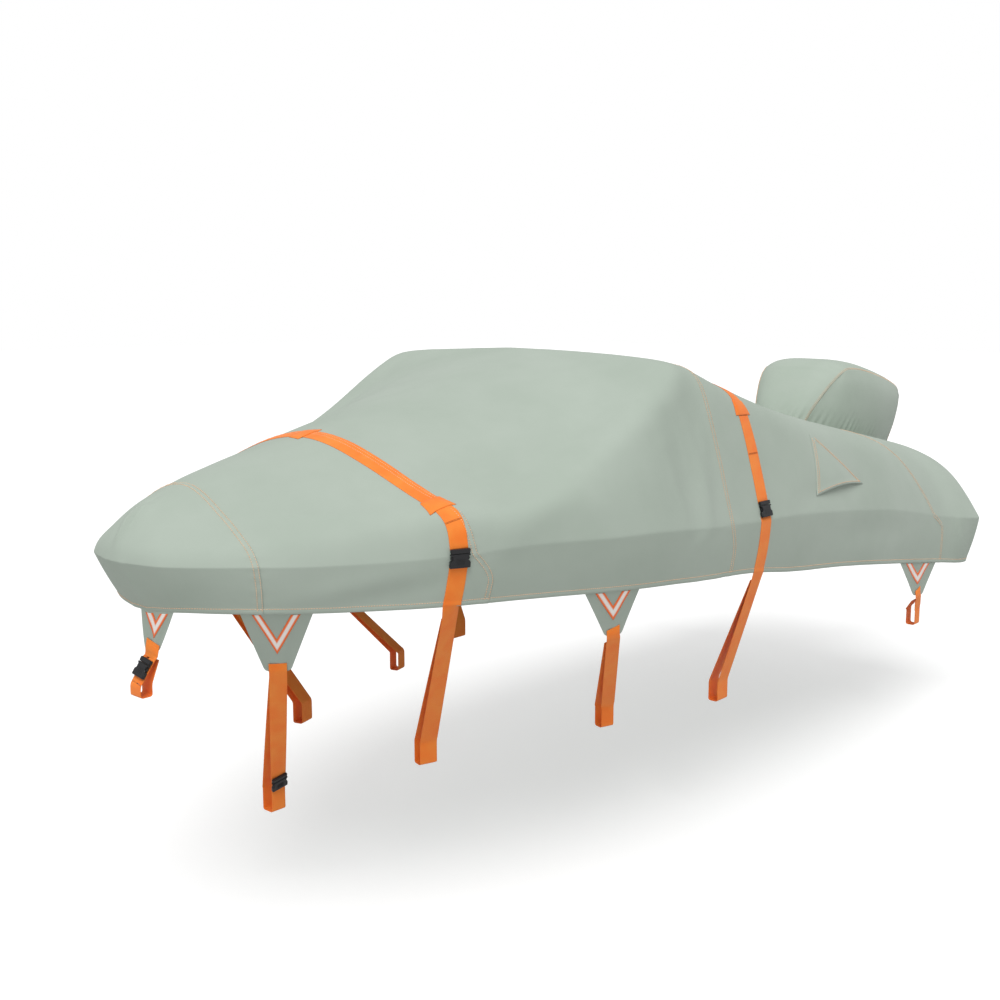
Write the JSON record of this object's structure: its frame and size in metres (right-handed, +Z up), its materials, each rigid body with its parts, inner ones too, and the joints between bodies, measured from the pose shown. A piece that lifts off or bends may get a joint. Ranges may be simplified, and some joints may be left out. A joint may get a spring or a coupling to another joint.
{
  "type": "boat cover",
  "caption": "Fitted cloth cover draped over a small motor boat, with over-the-top webbing straps, strap flaps, side vents and a matching hood for the outboard motor.",
  "frame": {"origin": "underside of the cloth in the middle of its highest edge, over the windscreen", "axes": "+X towards the stern, +Y to starboard, +Z up"},
  "size_m": [5.968, 2.2048, 1.8185],
  "materials": {
    "cover_cloth": "coated polyester, matt sage green",
    "hood_cloth": "coated polyester, matt sage green",
    "webbing": "woven orange webbing",
    "reflective_tape": "white reflective tape with orange edges",
    "buckle": "moulded black plastic"
  },
  "bodies": {
    "root": {"panel_bow": "cover_cloth", "panel_foredeck": "cover_cloth", "panel_windscreen": "cover_cloth", "panel_cockpit": "cover_cloth", "panel_stern": "cover_cloth", "vent_port": "cover_cloth", "vent_starboard": "cover_cloth", "strap_front_top": "webbing", "sleeve_front_port": "webbing", "sleeve_front_middle": "webbing", "sleeve_front_starboard": "webbing", "buckle_front_port": "buckle", "strap_front_port": "webbing", "buckle_front_starboard": "buckle", "strap_front_starboard": "webbing", "strap_rear_top": "webbing", "sleeve_rear_port": "webbing", "sleeve_rear_middle": "webbing", "sleeve_rear_starboard": "webbing", "buckle_rear_port": "buckle", "strap_rear_port": "webbing", "buckle_rear_starboard": "buckle", "strap_rear_starboard": "webbing", "flap_bow_port": "cover_cloth", "vee_bow_port": "reflective_tape", "strap_flap_bow_port": "webbing", "flap_nose": "cover_cloth", "vee_nose": "reflective_tape", "strap_flap_nose": "webbing", "flap_middle_port": "cover_cloth", "vee_middle_port": "reflective_tape", "strap_flap_middle_port": "webbing", "flap_middle_starboard": "cover_cloth", "vee_middle_starboard": "reflective_tape", "strap_flap_middle_starboard": "webbing", "flap_stern_port": "cover_cloth", "vee_stern_port": "reflective_tape", "strap_flap_stern_port": "webbing", "flap_stern_starboard": "cover_cloth", "vee_stern_starboard": "reflective_tape", "strap_flap_stern_starboard": "webbing", "buckle_flap_bow_port": "buckle", "buckle_flap_nose": "buckle", "hood_middle": "hood_cloth", "hood_port": "hood_cloth", "hood_starboard": "hood_cloth"}
  },
  "joints": []
}
